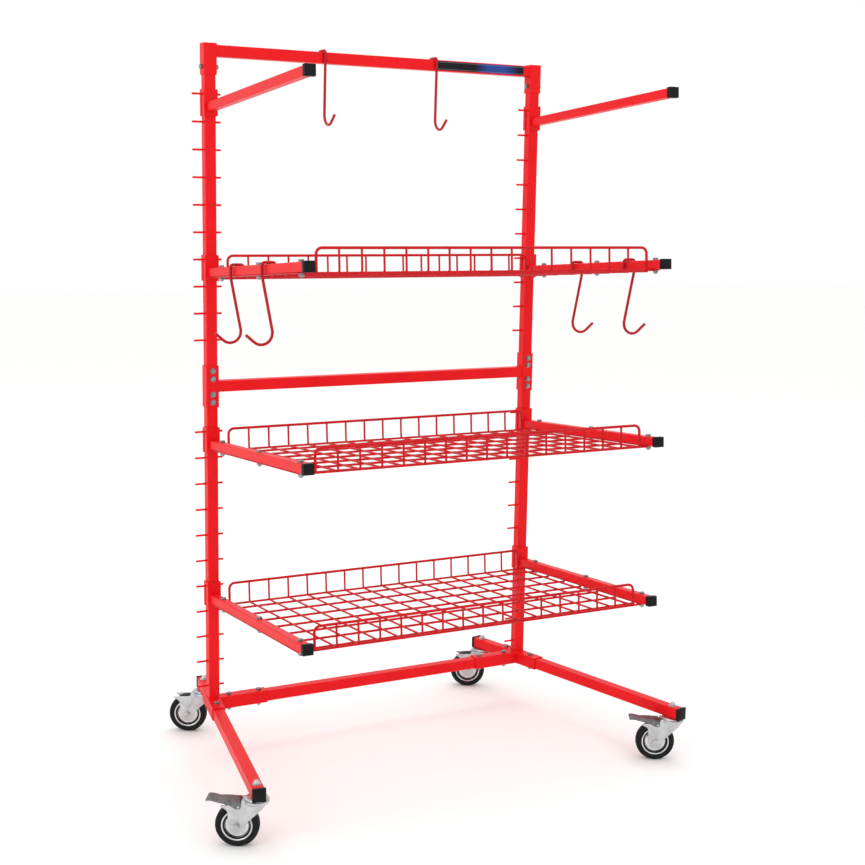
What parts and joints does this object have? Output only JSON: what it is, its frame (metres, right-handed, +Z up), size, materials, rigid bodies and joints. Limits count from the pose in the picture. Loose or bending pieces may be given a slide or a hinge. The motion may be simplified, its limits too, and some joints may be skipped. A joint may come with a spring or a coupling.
{
  "type": "parts cart",
  "caption": "Tall rolling parts cart: peg-studded square-tube uprights on splayed caster rails carry tilted lift-off wire shelves, bare top arms and loose S-hooks.",
  "frame": {"origin": "centre of the cart's plan outline, on the floor", "axes": "+X from the left upright to the right one, +Y towards the back, +Z up"},
  "size_m": [1.4707, 0.9552, 2.0575],
  "materials": {
    "red_powder_coat": "satin powder coat",
    "hook_paint": "satin paint",
    "zinc_plate": "bright zinc plating",
    "bright_rim": "bright pressed steel",
    "rubber_tyre": "matt moulded rubber",
    "black_plastic": "matt moulded",
    "label": "printed gloss film"
  },
  "bodies": {
    "frame": {"lower_upright_left": "red_powder_coat", "lower_upright_right": "red_powder_coat", "upper_upright_left": "red_powder_coat", "upper_upright_right": "red_powder_coat", "height_pegs": "red_powder_coat", "base_junction_left": "red_powder_coat", "base_junction_right": "red_powder_coat", "side_rail_left": "red_powder_coat", "side_rail_right": "red_powder_coat", "base_crossbar": "red_powder_coat", "middle_crossbar": "red_powder_coat", "top_crossbar": "red_powder_coat", "rail_end_caps": "black_plastic", "frame_bolts": "zinc_plate", "label_plate": "label", "caster_king_bolts": "zinc_plate", "caster_bearing_plates": "zinc_plate"},
    "shelf_upper": {"shelf_upper_deck": "red_powder_coat", "shelf_upper_arm_left": "red_powder_coat", "shelf_upper_arm_right": "red_powder_coat", "shelf_upper_caps": "black_plastic", "shelf_upper_bolts": "zinc_plate"},
    "shelf_middle": {"shelf_middle_deck": "red_powder_coat", "shelf_middle_arm_left": "red_powder_coat", "shelf_middle_arm_right": "red_powder_coat", "shelf_middle_caps": "black_plastic", "shelf_middle_bolts": "zinc_plate"},
    "shelf_lower": {"shelf_lower_deck": "red_powder_coat", "shelf_lower_arm_left": "red_powder_coat", "shelf_lower_arm_right": "red_powder_coat", "shelf_lower_caps": "black_plastic", "shelf_lower_bolts": "zinc_plate"},
    "top_arm_left": {"top_arm_left": "red_powder_coat", "top_arm_left_cap": "black_plastic"},
    "top_arm_right": {"top_arm_right": "red_powder_coat", "top_arm_right_cap": "black_plastic"},
    "hook_top_left": {"hook_top_left": "hook_paint"},
    "hook_top_right": {"hook_top_right": "hook_paint"},
    "hook_left_rear": {"hook_left_rear": "hook_paint"},
    "hook_left_front": {"hook_left_front": "hook_paint"},
    "hook_right_rear": {"hook_right_rear": "hook_paint"},
    "hook_right_front": {"hook_right_front": "hook_paint"},
    "caster_front_left": {"caster_front_left_fork": "zinc_plate", "caster_front_left_axle": "zinc_plate"},
    "wheel_front_left": {"caster_front_left_tyre": "rubber_tyre", "caster_front_left_rim": "bright_rim"},
    "brake_left": {"brake_lever_left": "zinc_plate"},
    "caster_front_right": {"caster_front_right_fork": "zinc_plate", "caster_front_right_axle": "zinc_plate"},
    "wheel_front_right": {"caster_front_right_tyre": "rubber_tyre", "caster_front_right_rim": "bright_rim"},
    "brake_right": {"brake_lever_right": "zinc_plate"},
    "caster_rear_left": {"caster_rear_left_fork": "zinc_plate", "caster_rear_left_axle": "zinc_plate"},
    "wheel_rear_left": {"caster_rear_left_tyre": "rubber_tyre", "caster_rear_left_rim": "bright_rim"},
    "caster_rear_right": {"caster_rear_right_fork": "zinc_plate", "caster_rear_right_axle": "zinc_plate"},
    "wheel_rear_right": {"caster_rear_right_tyre": "rubber_tyre", "caster_rear_right_rim": "bright_rim"}
  },
  "joints": [
    {"name": "shelf_upper_lift", "type": "slide", "parent": "frame", "child": "shelf_upper", "axis": [0, 0, 1], "range_m": [0, 0.025]},
    {"name": "shelf_middle_lift", "type": "slide", "parent": "frame", "child": "shelf_middle", "axis": [0, 0, 1], "range_m": [0, 0.025]},
    {"name": "shelf_lower_lift", "type": "slide", "parent": "frame", "child": "shelf_lower", "axis": [0, 0, 1], "range_m": [0, 0.025]},
    {"name": "top_arm_left_lift", "type": "slide", "parent": "frame", "child": "top_arm_left", "axis": [0, 0, 1], "range_m": [0, 0.025]},
    {"name": "top_arm_right_lift", "type": "slide", "parent": "frame", "child": "top_arm_right", "axis": [0, 0, 1], "range_m": [0, 0.025]},
    {"name": "hook_top_left_slide", "type": "slide", "parent": "frame", "child": "hook_top_left", "axis": [1, 0, 0], "range_m": [-0.28, 0.15]},
    {"name": "hook_top_right_slide", "type": "slide", "parent": "frame", "child": "hook_top_right", "axis": [1, 0, 0], "range_m": [-0.15, 0.28]},
    {"name": "hook_left_rear_slide", "type": "slide", "parent": "shelf_upper", "child": "hook_left_rear", "axis": [0, -0.9973, 0.0732], "range_m": [-0.11, 0.15]},
    {"name": "hook_left_front_slide", "type": "slide", "parent": "shelf_upper", "child": "hook_left_front", "axis": [0, -0.9973, 0.0732], "range_m": [-0.055, 0.2]},
    {"name": "hook_right_rear_slide", "type": "slide", "parent": "shelf_upper", "child": "hook_right_rear", "axis": [0, -0.9973, 0.0732], "range_m": [-0.17, 0.085]},
    {"name": "hook_right_front_slide", "type": "slide", "parent": "shelf_upper", "child": "hook_right_front", "axis": [0, -0.9973, 0.0732], "range_m": [-0.145, 0.105]},
    {"name": "caster_front_left_swivel", "type": "hinge", "parent": "frame", "child": "caster_front_left", "pos_m": [-0.6128, -0.40149, 0.132], "axis": [0, 0, 1], "continuous": true},
    {"name": "wheel_front_left_spin", "type": "hinge", "parent": "caster_front_left", "child": "wheel_front_left", "pos_m": [-0.65523, -0.37699, 0.057], "axis": [-0.5, -0.866, 0], "continuous": true},
    {"name": "brake_left_pedal", "type": "hinge", "parent": "caster_front_left", "child": "brake_left", "pos_m": [-0.6509, -0.37949, 0.111], "axis": [-0.5, -0.866, 0], "range_deg": [0, 8]},
    {"name": "caster_front_right_swivel", "type": "hinge", "parent": "frame", "child": "caster_front_right", "pos_m": [0.70136, -0.39283, 0.132], "axis": [0, 0, 1], "continuous": true},
    {"name": "wheel_front_right_spin", "type": "hinge", "parent": "caster_front_right", "child": "wheel_front_right", "pos_m": [0.65893, -0.36833, 0.057], "axis": [-0.5, -0.866, 0], "continuous": true},
    {"name": "brake_right_pedal", "type": "hinge", "parent": "caster_front_right", "child": "brake_right", "pos_m": [0.66326, -0.37083, 0.111], "axis": [-0.5, -0.866, 0], "range_deg": [0, 8]},
    {"name": "caster_rear_left_swivel", "type": "hinge", "parent": "frame", "child": "caster_rear_left", "pos_m": [-0.47614, 0.41515, 0.132], "axis": [0, 0, 1], "continuous": true},
    {"name": "wheel_rear_left_spin", "type": "hinge", "parent": "caster_rear_left", "child": "wheel_rear_left", "pos_m": [-0.51857, 0.43965, 0.057], "axis": [-0.5, -0.866, 0], "continuous": true},
    {"name": "caster_rear_right_swivel", "type": "hinge", "parent": "frame", "child": "caster_rear_right", "pos_m": [0.51088, 0.41296, 0.132], "axis": [0, 0, 1], "continuous": true},
    {"name": "wheel_rear_right_spin", "type": "hinge", "parent": "caster_rear_right", "child": "wheel_rear_right", "pos_m": [0.46845, 0.43746, 0.057], "axis": [-0.5, -0.866, 0], "continuous": true}
  ]
}
